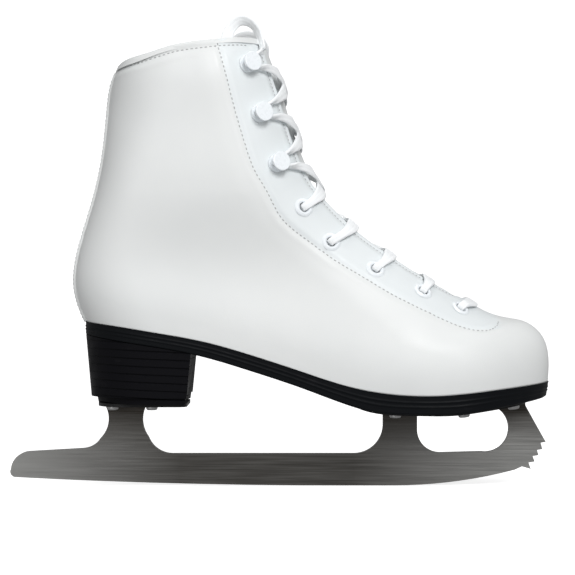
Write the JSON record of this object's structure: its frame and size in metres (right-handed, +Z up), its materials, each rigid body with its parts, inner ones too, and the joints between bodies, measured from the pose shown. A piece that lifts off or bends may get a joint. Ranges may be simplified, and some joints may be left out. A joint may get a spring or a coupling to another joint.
{
  "type": "figure skate",
  "caption": "White lace-up figure skate for the right foot: stiff leather boot on a heeled black sole with a screwed-on steel runner with toe picks.",
  "frame": {"origin": "on the ice, below the middle of the skate's overall length and width", "axes": "+X towards the toe, +Y towards the inner side of the foot, +Z up"},
  "size_m": [0.2955, 0.0908, 0.2536],
  "materials": {
    "leather_white": "smooth white leather, satin",
    "leather_trim": "smooth light grey leather trim",
    "stiffener": "pressed fibre stiffener",
    "foam": "soft foam",
    "lining": "brushed textile lining",
    "board": "fibre insole board",
    "footbed": "foam footbed with textile top",
    "steel_shank": "spring steel",
    "sole_black": "moulded black sole, satin",
    "heel_black": "moulded black heel, satin",
    "plate_black": "black painted steel",
    "runner_steel": "steel brushed lengthways",
    "screw_steel": "zinc plated",
    "enamel_white": "white enamelled metal",
    "lace_white": "flat woven white lace",
    "aglet_clear": "plastic lace tip"
  },
  "bodies": {
    "boot": {"upper": "leather_white", "backstrap": "leather_white", "collar_binding": "leather_trim", "eyestay": "stiffener", "heel_counter": "stiffener", "toe_box": "stiffener", "interlining_foam": "foam", "ankle_padding": "foam", "lining": "lining", "insole_board": "board", "footbed": "footbed", "shank": "steel_shank", "outsole": "sole_black", "heel_block": "heel_black", "heel_lift": "heel_black", "heel_plate": "plate_black", "sole_plate": "plate_black", "runner": "runner_steel", "sole_plate_screws": "screw_steel", "heel_plate_screws": "screw_steel", "eyelets_outer": "enamel_white", "eyelets_inner": "enamel_white", "hooks_outer": "enamel_white", "hooks_inner": "enamel_white", "lace": "lace_white", "lace_end_outer": "lace_white", "lace_end_inner": "lace_white", "aglet_outer": "aglet_clear", "aglet_inner": "aglet_clear"},
    "tongue": {"tongue_cover": "leather_trim", "tongue_foam": "foam", "tongue_lining": "lining"}
  },
  "joints": [
    {"name": "tongue_flex", "type": "hinge", "parent": "boot", "child": "tongue", "pos_m": [0.112, 0, 0.086], "axis": [0, -1, 0], "range_deg": [0, 4], "stiffness_Nm_per_rad": 2, "springref_deg": -3.44}
  ]
}
